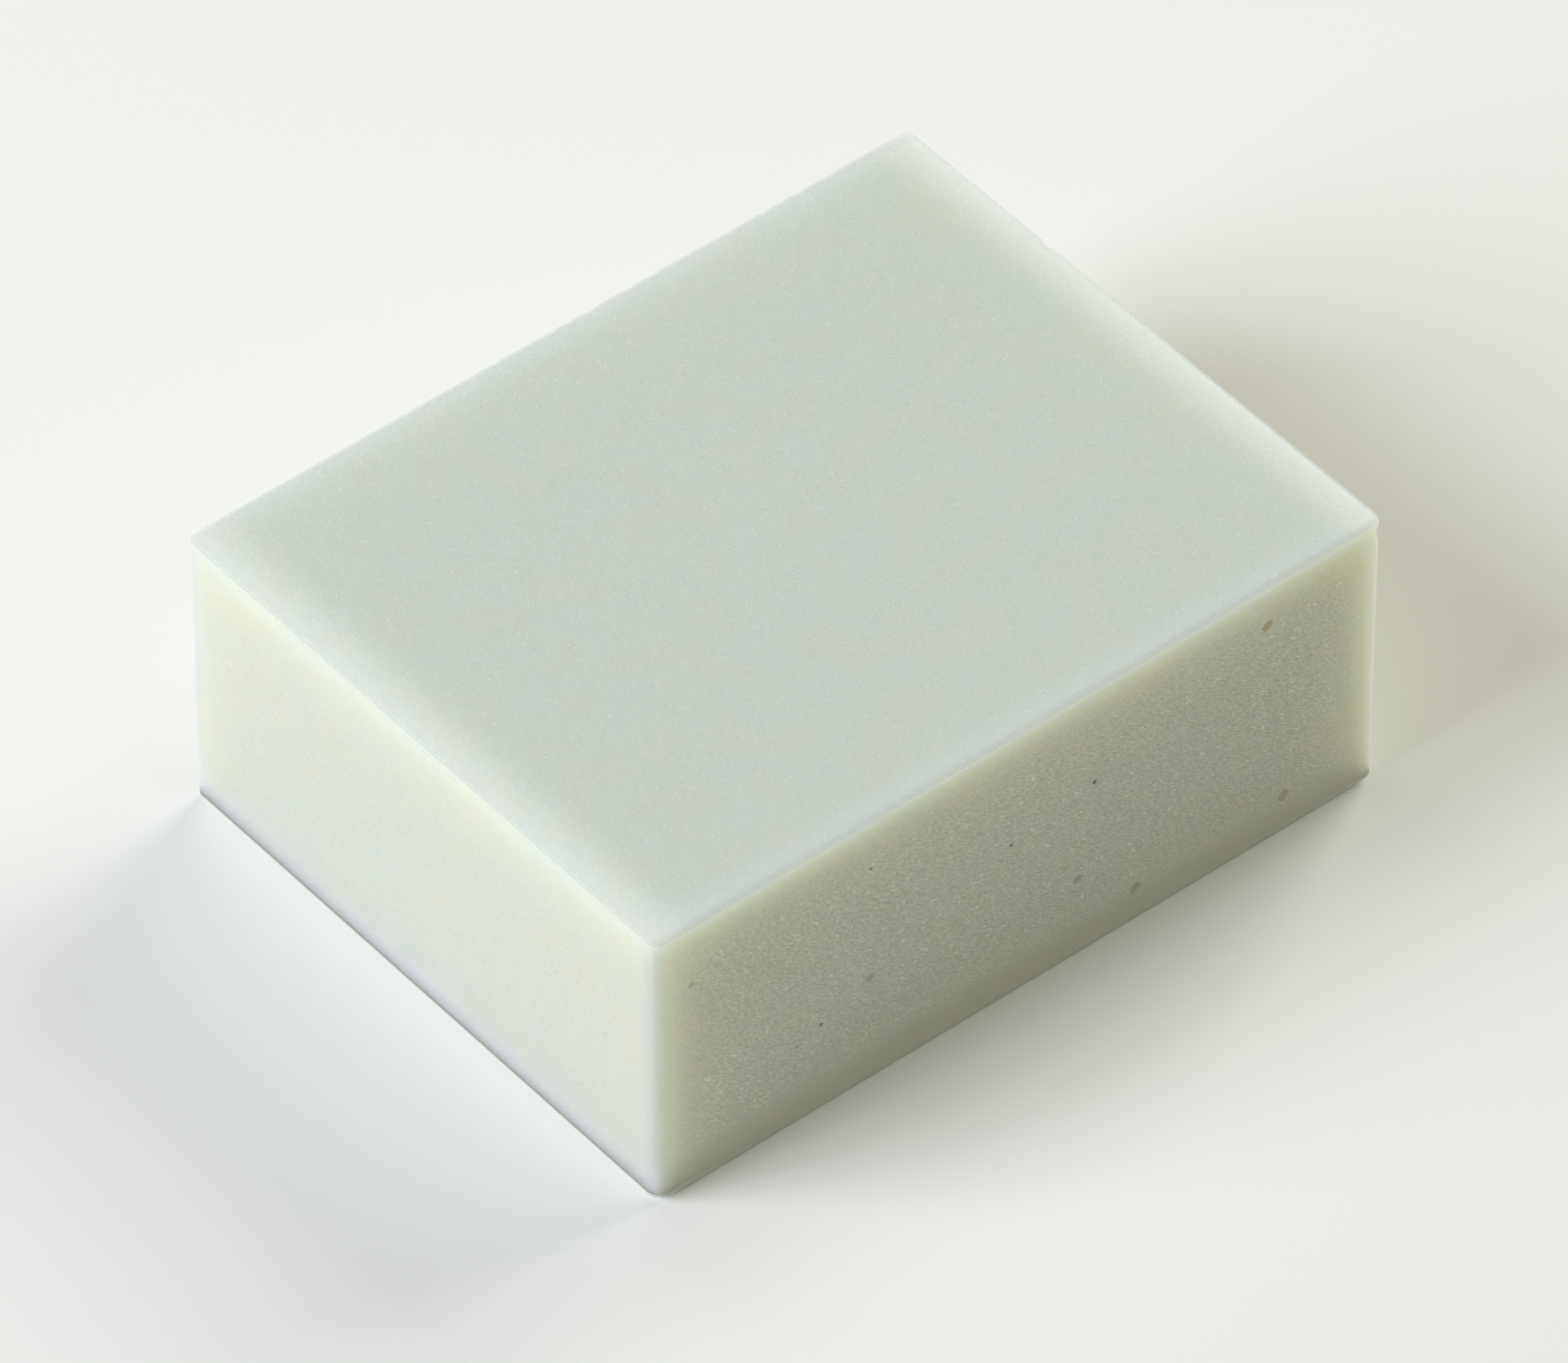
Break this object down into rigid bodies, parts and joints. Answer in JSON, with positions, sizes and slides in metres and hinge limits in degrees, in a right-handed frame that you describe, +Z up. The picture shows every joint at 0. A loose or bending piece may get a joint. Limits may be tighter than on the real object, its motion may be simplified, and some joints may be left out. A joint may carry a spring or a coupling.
{
  "type": "nail buffer block",
  "caption": "Small rectangular hand block of milky foam with a fine abrasive film glued to each large face, for smoothing nails.",
  "frame": {"origin": "centre of the bottom face, which the block rests on", "axes": "+X along the length, +Y along the width, +Z up through the layers"},
  "size_m": [0.033, 0.026, 0.013],
  "materials": {
    "foam": "milky, slightly greenish white closed-cell foam, translucent at its edges, with a fine cell texture and a few open pits on the cut sides",
    "adhesive": "clear to milky acrylic film, seen only as a hairline",
    "backing": "milky translucent polyester film, the same tint as the foam",
    "grit_coat": "matte white abrasive grains in clear resin, very fine and even, with pale glints"
  },
  "bodies": {
    "root": {"foam_core": "foam", "top_adhesive": "adhesive", "top_backing": "backing", "top_grit_coat": "grit_coat", "bottom_adhesive": "adhesive", "bottom_backing": "backing", "bottom_grit_coat": "grit_coat"}
  },
  "joints": []
}
